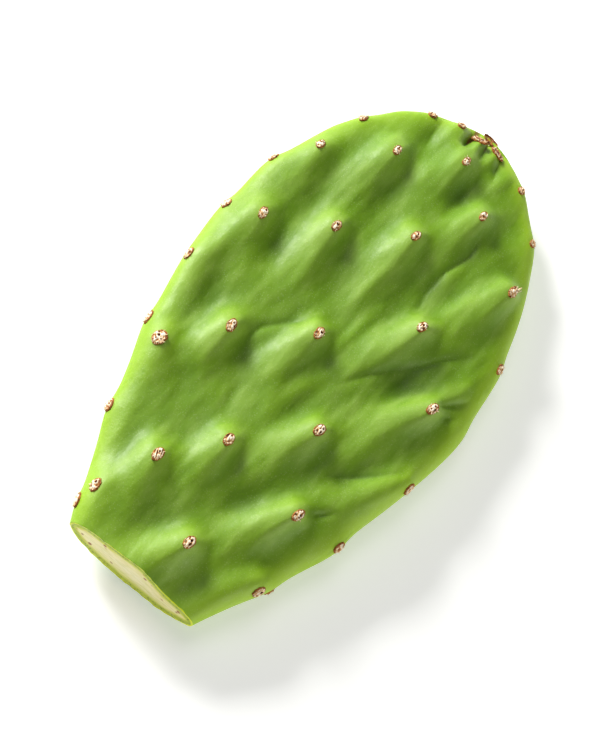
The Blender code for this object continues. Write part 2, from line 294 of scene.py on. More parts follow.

# %% [markdown]
# ## Swellings, hollows and folds
#
# Between the tubercles the skin isn't flat. Low ribs run with the growth lines, broad hollows sink where
# water was lost, and where one swelling leans on the next there is a crease: a narrow groove along a line,
# with the skin rolled up beside it. All are listed one by one, and each fades out at its ends.

# %% Where the skin swells, sinks and folds
SWELLS = [  # centre, reach across, reach along, lean as an angle, height (below zero: a hollow)
    (12, 38, 5, 12, 0.4, -0.5), (-5, 16, 6, 10, 0.0, -0.5), (-35, 90, 6, 9, 0.0, -0.7),
    (29, 108, 6, 12, 0.4, -0.6), (-32, 145, 5, 14, 0.0, -0.6), (-15, 159, 6, 9, 0.0, -0.6),
    (5, 179, 5, 8, 0.0, -0.5), (17, 2, 7, 12, 0.0, -1.2), (35, 75, 4, 12, 0.6, -0.6),
    (-16, 80, 5, 9, 0.0, -0.5), (-8, 122, 5, 10, 0.0, -0.4), (-32, 117, 5, 8, 0.0, -0.5),
    (24, 183, 5, 8, 0.0, -0.4), (-13, 197, 4.5, 8, 0.0, 0.7), (-3.2, 199, 2.0, 5, 0.0, 0.7),
    (3.6, 199, 2.2, 5, 0.0, 0.6), (11, 196, 3.5, 7, 0.1, 0.5),
    (-17, 190, 4, 8, 0.0, -0.5), (-27, 60, 5, 10, 0.0, -0.4),
    (27, 133, 5, 10, 0.3, 0.4), (44, 120, 4, 8, 0.4, 0.5), (42, 70, 5, 12, 0.4, 0.5),
    (-47, 110, 4, 16, 0.0, 0.5), (0, 70, 5, 12, 0.1, 0.4), (-30, 122, 5, 16, 0.0, -0.3),
    (25, 165, 5, 9, 0.0, 0.3), (-10, 178, 5, 9, 0.0, 0.3), (45, 140, 5, 12, 0.0, 0.3),
    (-1, 128, 2.4, 9, 0.1, 0.35), (5, 112, 2.4, 11, 0.15, 0.35), (26, 143, 2.6, 8, 0.3, 0.3),
    (-13, 95, 2.4, 9, 0.25, -0.35), (-1, 87, 2.2, 7, 0.1, -0.3), (4, 84, 2.2, 9, 0.25, 0.3),
    (-40, 92, 5, 40, -0.15, -0.45), (-20, 118, 2.6, 10, 0.05, 0.3),
    (-34, 38, 2.6, 12, -0.25, 0.3), (-12, 66, 2.4, 8, -0.1, -0.3),
]
CREASES = [  # points along the line, depth, width, roll beside it (positive: on the right of the line)
    ([(42, 136), (34, 127), (29, 119), (22, 110), (17, 103), (11, 92)], 0.42, 1.7, 0.45),
    ([(50, 122), (44, 114), (40.5, 109)], 0.62, 1.3, 0.7),
    ([(50, 114), (45, 109), (42, 105)], 0.42, 1.2, 0.45),
    ([(48, 87), (40, 77), (34, 71), (27, 66)], 0.42, 1.9, 0.55),
    ([(39, 59), (33, 53), (28.5, 49)], 0.40, 1.6, 0.35),
    ([(17, 174), (18.5, 163), (15.5, 152), (15, 141), (17, 131)], 0.42, 1.5, -0.3),
    ([(-7, 106), (-14, 99), (-19, 92), (-21, 84)], 0.35, 1.6, -0.3),
]


def swell(x, y, centre_x, centre_y, wide, long, lean, high):
    """One long soft swelling or hollow."""
    dx, dy = x - centre_x, y - centre_y
    aside = dx * math.cos(lean) - dy * math.sin(lean)
    along = dx * math.sin(lean) + dy * math.cos(lean)
    return high * np.exp(-((aside / wide) ** 2) - (along / long) ** 2)


def crease(x, y, line, depth, width, roll):
    """One groove along a line, deepest in its middle, with the skin rolled up on one side."""
    line = np.array(line, float)
    lengths = np.hypot(*np.diff(line, axis=0).T)
    starts = np.concatenate([[0.0], np.cumsum(lengths)])
    nearest = np.full(x.shape, 1e9)
    signed, place = np.zeros_like(x), np.zeros_like(x)
    for k in range(len(lengths)):
        way = (line[k + 1] - line[k]) / lengths[k]
        t = np.clip((x - line[k, 0]) * way[0] + (y - line[k, 1]) * way[1], 0.0, lengths[k])
        dx, dy = x - line[k, 0] - t * way[0], y - line[k, 1] - t * way[1]
        away = np.hypot(dx, dy)
        closer = away < nearest
        nearest = np.where(closer, away, nearest)
        signed = np.where(closer, np.sign(way[1] * dx - way[0] * dy) * away, signed)
        place = np.where(closer, (starts[k] + t) / starts[-1], place)
    fade = np.sin(math.pi * np.clip(place, 0.0, 1.0)) ** 0.7
    groove = -depth * np.exp(-nearest / width)
    beside = signed / (2.6 * width) * math.copysign(1.0, roll)
    rolled = abs(roll) * np.maximum(beside, 0.0) * np.exp(1.0 - np.maximum(beside, 0.0))
    return (groove + rolled * np.exp(-nearest / (6.0 * width))) * fade


for row in SWELLS:
    top_relief += swell(x, y, *row)
for line, depth, width, roll in CREASES:
    top_relief += crease(x, y, line, depth, width, roll)


def ripples(x, y, wavelength, seed, waves=28):
    """Smooth unevenness of about one wavelength, from a seeded sum of sine waves; about -1 to 1."""
    dice = np.random.default_rng(seed)
    total = np.zeros_like(x)
    for turn, stretch, phase in zip(dice.uniform(0, math.tau, waves), dice.uniform(0.7, 1.5, waves),
                                    dice.uniform(0, math.tau, waves)):
        pace = math.tau / (wavelength * stretch)
        total += np.sin(pace * (x * math.cos(turn) + y * math.sin(turn)) + phase)
    return total / math.sqrt(waves)


unevenness = 0.14 * ripples(x, 0.6 * y, 11.0, 3)
fine_unevenness = 0.05 * ripples(x, 0.5 * y, 4.5, 4)
top_relief = RELIEF * top_relief - SUNK + unevenness + fine_unevenness

# %% [markdown]
# ## The face it lies on
#
# The under face has its own tubercles, staggered against the upper ones and lower than they are. The skin
# stays above the table by the thickness of an areole.

# %% Tubercles of the under face
UNDER_SHAPE = (1.9, 6.0, 5.0, 20, 8)  # height, left and right flank, back and nose, in mm
under_names = sorted(name for name in areole_at if "under" in name)
under_relief = 0.14 * ripples(x, y, 13.0, 8)
for name in under_names:
    lean = 0.15 + 0.011 * areole_at[name][0] * (1 - areole_at[name][1] / 250)
    under_relief += tubercle(x, y, areole_at[name], lean, *UNDER_SHAPE)

relief = np.where(is_top, top_relief, under_relief) * bulge**1.2

# %% [markdown]
# ## Rim and crown
#
# Areoles sit on the rim as well, each on a small swelling that runs a little way toward the cut. At the
# crown, where the pad was still growing, the rim is pinched into short tongues with deep creases between
# them.

# %% Swellings along the rim, and the tongues of the crown
rim_names = sorted(name for name in areole_at if "rim" in name)
for name in rim_names:
    off = net - areole_at[name]
    reach = np.where(off[..., 1] < 0, 11.0, 4.5)
    away = np.hypot(off[..., 0], off[..., 2])
    relief += 0.5 * np.exp(-((off[..., 1] / reach) ** 2) - (away / 4.5) ** 2)

CROWN_FOLDS = [  # points inward from the edge, depth, width
    ([(-5.6, 212.0), (-6.2, 204.0), (-6.5, 199.0), (-6.8, 194.5)], 3.4, 1.6),
    ([(-0.4, 211.0), (-0.5, 203.5), (-0.2, 199.0), (0.2, 194.0)], 1.3, 1.5),
    ([(5.0, 211.0), (6.0, 203.0), (7.2, 197.0), (9.0, 191.0)], 1.1, 2.0),
    ([(-17.0, 208.0), (-18.0, 200.0), (-17.5, 192.0), (-16.0, 184.0)], 0.9, 3.2),
]
crown_share = np.clip((y - 178.0) / 14.0, 0.0, 1.0)
for line, depth, width in CROWN_FOLDS:
    cut_in = crease(x, y, line, depth, width, 0.3)
    relief += np.where(is_top, cut_in, 0.35 * cut_in) * crown_share * np.where(is_top, 1.0, bulge)

scab = -crease(x, y, CROWN_FOLDS[0][0], 1.0, 1.1, 0.0) - 0.5 * crease(x, y, CROWN_FOLDS[1][0], 1.0, 0.7, 0.0)
scab *= np.clip((y - 196.0) / 5.0, 0.0, 1.0)  # dried brown skin deep in the first folds

skin_points = net + facing * relief[..., None]
skin_points[..., 2] = np.maximum(skin_points[..., 2], lowest_skin)
print("relief from", round(float(relief.min()), 2), "to", round(float(relief.max()), 2), "mm")

# %% [markdown]
# ## The cut face
#
# A knife leaves a nearly flat face. As it dries, the flesh shrinks back a little and the tougher skin
# stands proud as a fine lip, so the face is a set of rings that step inward, each a touch deeper, with
# shallow smears from the blade.

# %% Rings of the cut face
INWARD = [0.03, 0.07, 0.13, 0.20, 0.29, 0.39, 0.50, 0.61, 0.72, 0.82, 0.91]
cut_edge = skin_points[0].copy()
cut_edge[:, 1] += 0.12 * ripples(cut_edge[:, 0], cut_edge[:, 2], 4.0, 21) + 0.06
skin_points[0] = cut_edge
cut_heart = np.array([0.5 * (ring_left[0] + ring_right[0]), 0.0, float(rim_height(0.0))])
face_rings = []
for share in INWARD:
    ring = cut_edge + (cut_heart - cut_edge) * share
    sunk = 0.32 * (1 - math.exp(-share / 0.10))
    blade = 0.09 * ripples(ring[:, 0] * 0.35, ring[:, 2] * 1.6, 3.4, 22)
    ring[:, 1] = sunk + blade * min(1.0, share / 0.1)
    face_rings.append(ring)
heart = cut_heart.copy()
heart[1] = 0.32

flat_edge = cut_edge[:, [0, 2]]


def depth_under_skin(points):
    """How far each point of the cut face is from the nearest skin, in millimetres."""
    gaps = points[:, None, [0, 2]] - flat_edge[None, ::2]
    return np.sqrt((gaps**2).sum(axis=2)).min(axis=1)


# %% [markdown]
# ## One closed mesh
#
# Rings and cut face become one mesh, closed at the tip and at the heart of the cut. Five numbers are kept
# on its points for the finishes. They say how far a point has sunk below its surroundings, how near the rim
# it is (more on the right rim, as painted light), how brown the dried skin in the first folds is, how deep it
# lies under the skin on the cut face, and how far along the pad it is.

# %% Build the pad
vertices = [in_frame(skin_points[:-1].reshape(-1, 3))]
vertices += [in_frame(ring) for ring in face_rings]
vertices.append(in_frame([skin_points[-1].mean(axis=0), heart]))
vertices = np.concatenate(vertices)
skin_count = (RINGS - 1) * STEPS
face_count = len(INWARD) * STEPS
tip_index, heart_index = skin_count + face_count, skin_count + face_count + 1

faces, finish_of_face = [], []
turn = np.arange(STEPS)
after = (turn + 1) % STEPS
for k in range(RINGS - 2):
    a, b = k * STEPS, (k + 1) * STEPS
    faces += np.column_stack([a + turn, a + after, b + after, b + turn]).tolist()
faces += np.column_stack([(RINGS - 2) * STEPS + turn, (RINGS - 2) * STEPS + after,
                          np.full(STEPS, tip_index)]).tolist()
finish_of_face += [0] * len(faces)
ring_starts = [0] + [skin_count + k * STEPS for k in range(len(INWARD))]
for a, b in zip(ring_starts[:-1], ring_starts[1:]):
    faces += np.column_stack([a + after, a + turn, b + turn, b + after]).tolist()
inner_ring = ring_starts[-1]
faces += np.column_stack([inner_ring + after, inner_ring + turn, np.full(STEPS, heart_index)]).tolist()
finish_of_face += [1] * (len(faces) - len(finish_of_face))

pad_mesh = bpy.data.meshes.new("pad_skin_and_flesh")
pad_mesh.from_pydata(vertices.tolist(), [], faces)
builder = bmesh.new()
builder.from_mesh(pad_mesh)
if builder.calc_volume(signed=True) < 0:
    bmesh.ops.reverse_faces(builder, faces=builder.faces[:])
print("pad volume", round(builder.calc_volume() * 1e6, 1), "cm3")
builder.to_mesh(pad_mesh)
builder.free()
pad_mesh.polygons.foreach_set("material_index", finish_of_face)
pad_mesh.polygons.foreach_set("use_smooth", [True] * len(faces))


def blurred(grid, rings, steps):
    """A field on the net, averaged over a few rings and a few points around."""
    out = grid
    for _ in range(rings):
        padded = np.concatenate([out[:1], out, out[-1:]])
        out = 0.25 * padded[:-2] + 0.5 * padded[1:-1] + 0.25 * padded[2:]
    for _ in range(steps):
        out = 0.25 * np.roll(out, 1, axis=1) + 0.5 * out + 0.25 * np.roll(out, -1, axis=1)
    return out


def note_on(mesh, name, values):
    """Keeps one number per point on the mesh, for the finishes to read."""
    mesh.attributes.new(name, "FLOAT", "POINT").data.foreach_set("value", np.asarray(values, np.float32))


RIM_BAND = 4.2  # mm that the paler edge reaches in from the outline
sunk = blurred(relief, 60, 60) - relief
ring_reach = 0.5 * (ring_right - ring_left)[:, None]
from_middle = np.abs(x - 0.5 * (ring_left + ring_right)[:, None])
outline_turn = np.arctan(np.gradient(ring_reach, ring_y, axis=0))
from_edge = (ring_reach - from_middle) * np.cos(outline_turn)
rim_and_light_share = np.exp(-((from_edge / RIM_BAND) ** 1.6))
# painted light: the right edge, in the side light's shade, is painted paler, and the lit left edge less pale
rim_and_light_share *= 0.72 + 0.22 * np.tanh(x / 15.0)  # the right edge is the paler one
under_skin = np.concatenate([depth_under_skin(ring) for ring in face_rings])
nothing = np.zeros(face_count + 2)
note_on(pad_mesh, "sunk", np.concatenate([sunk[:-1].ravel(), nothing]))
note_on(pad_mesh, "rim", np.concatenate([rim_and_light_share[:-1].ravel(), nothing]))
note_on(pad_mesh, "scab", np.concatenate([scab[:-1].ravel(), nothing]))
note_on(pad_mesh, "depth", np.concatenate([np.zeros(skin_count), under_skin, [0.0, 8.0]]))
along_share = (y / pad_length)[:-1].ravel()
note_on(pad_mesh, "along", np.concatenate([along_share, np.zeros(face_count), [1.0, 0.0]]))
pad = bpy.data.objects.new("pad_body", pad_mesh)
bpy.context.scene.collection.objects.link(pad)
skin_tree = BVHTree.FromPolygons(vertices.tolist(), faces)
print(len(faces), "faces,", sum(len(face) - 2 for face in faces), "triangles")

# %% [markdown]
# ## Colours and nodes
#
# Colours are given as the hex values a colour picker shows. Blender's shaders add up light, so each
# value is turned to linear first. One helper adds a node and sets its inputs.

# %% Two helpers for all finishes


def colour(hex_value):
    """An sRGB hex value as a linear RGBA colour."""
    parts = [int(hex_value[k:k + 2], 16) / 255 for k in (1, 3, 5)]
    return (*(v / 12.92 if v <= 0.04045 else ((v + 0.055) / 1.055) ** 2.4 for v in parts), 1.0)


def add(tree, kind, links=None, **settings):
    """Adds a node. Settings with a name of a socket fill the socket, all others are the node's own."""
    node = tree.nodes.new("ShaderNode" + kind)
    for key, value in settings.items():
        if not key.startswith("in_"):
            setattr(node, key, value)
    for key, value in settings.items():
        if key.startswith("in_"):
            name = key[3:]
            socket = node.inputs[int(name)] if name.isdigit() else node.inputs[name.replace("_", " ")]
            socket.default_value = value
    for name, source in (links or {}).items():
        tree.links.new(source, node.inputs[name])
    return node


def new_finish(name):
    """An empty Principled material: its tree and its shader."""
    finish = bpy.data.materials.new(name)
    finish.use_nodes = True
    return finish, finish.node_tree, finish.node_tree.nodes["Principled BSDF"]


def ramp(tree, source, stops, interpolation="LINEAR"):
    """A colour ramp with its stops, fed by a number."""
    node = add(tree, "ValToRGB", {"Fac": source})
    node.color_ramp.interpolation = interpolation
    while len(node.color_ramp.elements) < len(stops):
        node.color_ramp.elements.new(0.5)
    for element, (place, value) in zip(node.color_ramp.elements, stops):
        element.position = place
        element.color = colour(value) if isinstance(value, str) else (value, value, value, 1.0)
    return node.outputs["Color"]


def mix(tree, kind, share, first, second):
    """Two colours mixed; share, first and second are sockets or plain values."""
    node = tree.nodes.new("ShaderNodeMix")
    node.data_type, node.blend_type = "RGBA", kind
    for socket, value in ((node.inputs[0], share), (node.inputs[6], first), (node.inputs[7], second)):
        if isinstance(value, bpy.types.NodeSocket):
            tree.links.new(value, socket)
        else:
            socket.default_value = value
    return node.outputs[2]


# %% [markdown]
# ## Waxy green skin
#
# The skin is a thick cuticle with a film of plant wax over green tissue full of water. To the eye that
# is a saturated green that light enters a little way, so shaded flanks stay green and not grey, under a
# soft, broad, slightly milky shine. Wax has an IOR near 1.45. The colour is yellower on the rim, where
# the green tissue is thin, and paler on the right rim as painted light. The hollows get a deeper green as
# painted shade, and the raised skin a paler green, partly wax film and partly painted sheen. Stomata are
# pale dots about 0.05 mm wide and 0.3 mm apart; they are drawn at about 0.7 mm so that they show.

# %% The skin's finish
skin_finish, tree, shader = new_finish("waxy_green_skin")
place = add(tree, "TexCoord").outputs["Object"]
rim_and_light_note = add(tree, "Attribute", attribute_name="rim").outputs["Fac"]
sunk_note = add(tree, "Attribute", attribute_name="sunk").outputs["Fac"]
along_note = add(tree, "Attribute", attribute_name="along").outputs["Fac"]

mottle = add(tree, "TexNoise", {"Vector": place}, in_Scale=70.0, in_Detail=4.0, in_Roughness=0.55)
green = ramp(tree, mottle.outputs["Fac"], [(0.30, "#68920c"), (0.52, "#739b10"), (0.75, "#80a718")])
from_stem = ramp(tree, along_note, [
    (0.0, "#8ab216"), (0.10, "#7aa314"), (0.45, "#709810"), (1.0, "#6a9614"),
])
green = mix(tree, "MIX", 0.5, green, from_stem)
# painted shade: where the skin has sunk below its surroundings it is painted a deeper green
hollow_shade_share = add(tree, "MapRange", {"Value": sunk_note}, in_1=-0.5, in_2=1.3).outputs["Result"]
green = mix(tree, "MIX", ramp(tree, hollow_shade_share, [(0.1, 0.0), (1.0, 0.85)]), green, colour("#4f7600"))
# partly wax film and partly painted sheen: the raised skin is painted a paler, whitish green
wax_and_sheen_share = add(tree, "MapRange", {"Value": sunk_note}, in_1=-0.1, in_2=-1.6).outputs["Result"]
green = mix(tree, "MIX", ramp(tree, wax_and_sheen_share, [(0.0, 0.0), (1.0, 0.30)]), green, colour("#a9c85c"))
# the rim's yellower green is the skin's own colour; its paler right side is painted light
green = mix(tree, "MIX", ramp(tree, rim_and_light_note, [(0.0, 0.0), (1.0, 0.95)]), green, colour("#a4cc20"))

scab_note = add(tree, "Attribute", attribute_name="scab").outputs["Fac"]
green = mix(tree, "MIX", ramp(tree, scab_note, [(0.25, 0.0), (0.60, 0.95)]), green, colour("#6a3d16"))

streak_place = add(tree, "Mapping", {"Vector": place}, in_Scale=(1.0, 0.28, 1.0)).outputs["Vector"]
streaks = add(tree, "TexNoise", {"Vector": streak_place}, in_Scale=190.0, in_Detail=5.0, in_Roughness=0.6)
pale_streaks = ramp(tree, streaks.outputs["Fac"], [(0.46, 0.0), (0.70, 0.26)])
green = mix(tree, "MIX", pale_streaks, green, colour("#a6c45e"))
deep_streaks = ramp(tree, streaks.outputs["Fac"], [(0.30, 0.25), (0.45, 0.0)])
green = mix(tree, "MIX", deep_streaks, green, colour("#5a8208"))

pores = add(tree, "TexVoronoi", {"Vector": place}, in_Scale=1400.0, in_Randomness=1.0)
pore_share = ramp(tree, pores.outputs["Distance"], [(0.0, 0.22), (0.34, 0.0)])
patchy = add(tree, "TexNoise", {"Vector": place}, in_Scale=260.0, in_Detail=2.0)
patches = ramp(tree, patchy.outputs["Fac"], [(0.30, 0.1), (0.62, 1.0)])
pore_share = mix(tree, "MULTIPLY", 1.0, pore_share, patches)
green = mix(tree, "MIX", pore_share, green, colour("#dbe8b0"))
tree.links.new(green, shader.inputs["Base Color"])

gloss = add(tree, "TexNoise", {"Vector": place}, in_Scale=320.0, in_Detail=3.0)
tree.links.new(ramp(tree, gloss.outputs["Fac"], [(0.3, 0.45), (0.7, 0.58)]), shader.inputs["Roughness"])
peel = add(tree, "TexNoise", {"Vector": place}, in_Scale=1000.0, in_Detail=3.0, in_Roughness=0.7)
peel_bump = add(tree, "Bump", {"Height": peel.outputs["Fac"]}, in_Strength=0.32, in_Distance=0.00025)
waver = add(tree, "TexNoise", {"Vector": place}, in_Scale=240.0, in_Detail=2.0)
waver_bump = add(tree, "Bump", {"Height": waver.outputs["Fac"], "Normal": peel_bump.outputs["Normal"]},
                 in_Strength=0.30, in_Distance=0.0005)
streak_bump = add(tree, "Bump", {"Height": streaks.outputs["Fac"], "Normal": waver_bump.outputs["Normal"]},
                  in_Strength=0.35, in_Distance=0.0006)
tree.links.new(streak_bump.outputs["Normal"], shader.inputs["Normal"])
shader.inputs["IOR"].default_value = 1.45
shader.inputs["Subsurface Weight"].default_value = 0.12
shader.inputs["Subsurface Radius"].default_value = (0.9, 1.2, 0.25)
shader.inputs["Subsurface Scale"].default_value = 0.0015
shader.inputs["Specular IOR Level"].default_value = 0.46
print("finish", skin_finish.name)

# %% [markdown]
# ## Cut flesh
#
# Under the skin lies a thin bright line of cuticle, then a green band of tissue that makes sugar, then
# pale watery pith. Fine bundles of vessels show as brown dots in an oval a few millimetres in. The wet
# face is smoother than the skin, and light goes deeper into it.

# %% The flesh's finish
flesh_finish, tree, shader = new_finish("cut_wet_flesh")
place = add(tree, "TexCoord").outputs["Object"]
depth_note = add(tree, "Attribute", attribute_name="depth").outputs["Fac"]
wander = add(tree, "TexNoise", {"Vector": place}, in_Scale=700.0, in_Detail=3.0)
wavy = add(tree, "Math", {0: depth_note, 1: wander.outputs["Fac"]}, operation="ADD").outputs[0]
depth_share = add(tree, "MapRange", {"Value": wavy}, in_1=0.45, in_2=8.45).outputs["Result"]
flesh = ramp(tree, depth_share, [
    (0.0, "#e6f428"), (0.07, "#d8e81c"), (0.11, "#98b406"), (0.26, "#b2c612"), (0.34, "#e0de68"),
    (0.46, "#f8eeb4"), (1.0, "#fcf4ca"),
])
smear_place = add(tree, "Mapping", {"Vector": place}, in_Scale=(0.25, 1.0, 1.4)).outputs["Vector"]
smear = add(tree, "TexNoise", {"Vector": smear_place}, in_Scale=900.0, in_Detail=4.0, in_Roughness=0.65)
smears = ramp(tree, smear.outputs["Fac"], [(0.42, 0.0), (0.66, 0.50)])
flesh = mix(tree, "MIX", smears, flesh, colour("#cfd050"))
above_table = add(tree, "SeparateXYZ", {"Vector": place}).outputs["Z"]
low_share = add(tree, "MapRange", {"Value": above_table}, in_1=0.009, in_2=0.003).outputs["Result"]
flesh = mix(tree, "MIX", ramp(tree, low_share, [(0.0, 0.0), (1.0, 0.75)]), flesh, colour("#c2cc3e"))
vessels = add(tree, "TexVoronoi", {"Vector": place}, in_Scale=300.0, in_Randomness=1.0)
dots = ramp(tree, vessels.outputs["Distance"], [(0.16, 0.95), (0.26, 0.0)])
oval = ramp(tree, depth_share, [(0.28, 0.0), (0.36, 1.0), (0.55, 1.0), (0.68, 0.0)])
flesh = mix(tree, "MIX", mix(tree, "MULTIPLY", 1.0, dots, oval), flesh, colour("#a0622a"))
cells = add(tree, "TexVoronoi", {"Vector": place}, in_Scale=1100.0, in_Randomness=1.0)
green_band = ramp(tree, depth_share, [(0.07, 0.0), (0.11, 1.0), (0.22, 1.0), (0.30, 0.0)])
cell_share = ramp(tree, cells.outputs["Distance"], [(0.20, 0.8), (0.42, 0.0)])
dark_cells = mix(tree, "MULTIPLY", 1.0, cell_share, green_band)
flesh = mix(tree, "MIX", dark_cells, flesh, colour("#56720e"))
tree.links.new(flesh, shader.inputs["Base Color"])
wet_bump = add(tree, "Bump", {"Height": smear.outputs["Fac"]}, in_Strength=0.5, in_Distance=0.0004)
tree.links.new(wet_bump.outputs["Normal"], shader.inputs["Normal"])
tree.links.new(ramp(tree, wander.outputs["Fac"], [(0.3, 0.30), (0.7, 0.48)]), shader.inputs["Roughness"])
shader.inputs["IOR"].default_value = 1.38
shader.inputs["Subsurface Weight"].default_value = 0.15
shader.inputs["Subsurface Radius"].default_value = (1.2, 1.1, 0.4)
shader.inputs["Subsurface Scale"].default_value = 0.001
pad_mesh.materials.append(skin_finish)
pad_mesh.materials.append(flesh_finish)
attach(pad, "root")
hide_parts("pad")

# %% [markdown]
# ## Areoles
#
# An areole is a tiny cushion of felt in a corky brown frame. Out of it come tufts of wool, and short barbed
# bristles that lie over toward the cut. Up close it looks like a button of cream clumps with dark gaps
# and one or two eyes, where a leaf or a spine once stood. The wool is painted darker where it lies low: in
# the gaps and eyes this is partly the brown of the felt and partly painted shade, and under each clump it is
# painted shade. Each is built in its own small frame of right, up the pad, and out of the skin, and then
# seated on the skin where the CAD puts it.

# %% Materials of an areole
cork_finish, tree, shader = new_finish("corky_areole_frame")
place = add(tree, "TexCoord").outputs["Object"]
grain = add(tree, "TexNoise", {"Vector": place}, in_Scale=2200.0, in_Detail=3.0)
tree.links.new(ramp(tree, grain.outputs["Fac"], [(0.3, "#5a2c0c"), (0.50, "#9c5a1e"), (0.72, "#cf8c40")]),
               shader.inputs["Base Color"])
cork_bump = add(tree, "Bump", {"Height": grain.outputs["Fac"]}, in_Strength=0.6, in_Distance=0.0002)
tree.links.new(cork_bump.outputs["Normal"], shader.inputs["Normal"])
shader.inputs["Roughness"].default_value = 0.85

wool_finish, tree, shader = new_finish("cream_areole_wool")
place = add(tree, "TexCoord").outputs["Object"]
tone_and_shade_note = add(tree, "Attribute", attribute_name="raised").outputs["Fac"]
tuft_noise = add(tree, "TexNoise", {"Vector": place}, in_Scale=1800.0, in_Detail=3.0)
tangle = add(tree, "Math", {0: tuft_noise.outputs["Fac"]}, operation="MULTIPLY", in_1=0.30).outputs[0]
wavy_tone_and_shade = add(tree, "Math", {0: tone_and_shade_note, 1: tangle}, operation="ADD").outputs[0]
# the wool is painted darker where it lies low: partly the brown of the felt, partly painted shade in the gaps
# and under the clumps
tree.links.new(ramp(tree, wavy_tone_and_shade, [
    (0.14, "#1e0e05"), (0.34, "#6e3812"), (0.50, "#b9793a"), (0.64, "#e6c08c"), (0.82, "#fbeed6"),
]), shader.inputs["Base Color"])
wool_bump = add(tree, "Bump", {"Height": tuft_noise.outputs["Fac"]}, in_Strength=0.7, in_Distance=0.0002)
tree.links.new(wool_bump.outputs["Normal"], shader.inputs["Normal"])
shader.inputs["Roughness"].default_value = 0.92
shader.inputs["Sheen Weight"].default_value = 0.25

bristle_finish, tree, shader = new_finish("straw_bristle")
place = add(tree, "TexCoord").outputs["Object"]
bands = add(tree, "TexNoise", {"Vector": place}, in_Scale=1500.0, in_Detail=2.0)
straw = ramp(tree, bands.outputs["Fac"], [(0.3, "#c99a5e"), (0.6, "#ecd8b2")])
tree.links.new(straw, shader.inputs["Base Color"])
shader.inputs["Roughness"].default_value = 0.5
print("finishes", cork_finish.name, wool_finish.name, bristle_finish.name)

# %% [markdown]
# The wool is a low dome with combed strands, drawn by waves that run fast across and slow along the pad, and
# with one to three holes in it. A few loose clumps and blunt bristles break its outline. A seeded dice
# places them, so no two areoles are alike and yet every run gives the same ones.

# %% Parts of an areole
ball = bmesh.new()
bmesh.ops.create_icosphere(ball, subdivisions=2, radius=1.0)
ball_points = np.array([vertex.co for vertex in ball.verts])
ball_faces = [[vertex.index for vertex in face.verts] for face in ball.faces]
ball.free()


class Heap:
    """Points and faces of one areole, gathered part by part."""

    def __init__(self):
        self.points, self.faces, self.finishes, self.raised, self.count = [], [], [], [], 0

    def put(self, points, faces, finish, raised):
        self.points.append(points)
        self.faces += [[self.count + k for k in face] for face in faces]
        self.finishes += [finish] * len(faces)
        self.raised.append(raised)
        self.count += len(points)


def clump(heap, dice, centre, size, lean_way):
    """One clump of wool: a rough lump, pulled out a little along one way."""
    rough = 1.0 + 0.22 * dice.standard_normal(len(ball_points)) * 0.6
    turned = ball_points @ np.array(Matrix.Rotation(dice.uniform(0, math.tau), 3, "Z")).T
    lump = turned * rough[:, None] * np.array(size)
    lump += np.outer(np.maximum(turned[:, 2], -0.3), lean_way)
    # painted shade: each clump is painted darker toward its under side and cream on top
    raised = np.clip(0.5 + 0.5 * turned[:, 2], 0.0, 1.0) * 0.62
    heap.put(lump + centre, ball_faces, 1, raised)


def wool_dome(heap, dice, wide, long, eyes, darkness):
    """Combed wool over the bed of an areole, with holes at the eyes."""
    around, outs = 44, np.linspace(0.05, 1.0, 16)
    angles = np.linspace(0, math.tau, around, endpoint=False)
    px = np.outer(outs, np.cos(angles)) * wide / 2 * 0.90
    py = np.outer(outs, np.sin(angles)) * long / 2 * 0.90
    seed = int(dice.integers(1, 9999))
    strands = ripples(px + 0.3 * py, 0.30 * py, 0.95, seed)
    lumps = ripples(px, py, 1.7, seed + 1)
    hole = sum(np.exp(-(((px - ex) ** 2 + (py - ey) ** 2) / size**2) ** 2) for ex, ey, size in eyes)
    collar = sum(np.exp(-((np.hypot(px - ex, py - ey) - 1.5 * size) / 0.28) ** 2) for ex, ey, size in eyes)
    dome = np.sqrt(np.clip(1 - outs**3, 0, 1))[:, None] * WOOL_HIGH
    pile = np.clip(0.56 + 0.36 * strands + 0.26 * lumps + 0.30 * collar, 0.0, 1.1)
    open_share = np.clip(1 - hole, 0.0, 1.0)
    high = (dome * (0.35 + 0.65 * pile) + 0.12) * (0.15 + 0.85 * open_share)
    points = np.stack([px, py, high], axis=2).reshape(-1, 3)
    # partly the felt's own brown and partly painted shade: low wool between strands and in the eyes is
    # painted darker
    raised = (np.clip(0.06 + 0.72 * pile, 0, 0.8) * (0.12 + 0.88 * open_share) * darkness).ravel()
    faces = [[k * around + a, k * around + (a + 1) % around, (k + 1) * around + (a + 1) % around,
              (k + 1) * around + a] for k in range(len(outs) - 1) for a in range(around)]
    faces += [[a, (a + 1) % around, len(points)] for a in range(around)]
    middle = points[:around].mean(axis=0)
    heap.put(np.concatenate([points, [middle]]), faces, 1, np.append(raised, raised[:around].mean()))


def rod(heap, start, stop, thick, finish, sides=5):
    """A blunt bristle from one point to another."""
    way = np.array(stop) - np.array(start)
    one = np.cross(way, (0.3, 0.5, 0.8))
    one /= np.linalg.norm(one)
    two = np.cross(way, one) / np.linalg.norm(way)
    points = []
    for share, width in ((0.0, 1.0), (0.55, 0.9), (0.9, 0.6), (1.0, 0.25)):
        for k in range(sides):
            angle = math.tau * k / sides
            sideways = one * math.cos(angle) + two * math.sin(angle)
            points.append(start + way * share + sideways * thick * width)
    faces = []
    for ring in range(3):
        for k in range(sides):
            a, b = ring * sides + k, ring * sides + (k + 1) % sides
            faces.append([a, b, b + sides, a + sides])
    faces.append([3 * sides + k for k in range(sides)])
    faces.append([k for k in reversed(range(sides))])
    heap.put(np.array(points), faces, finish, np.full(len(points), 0.6))


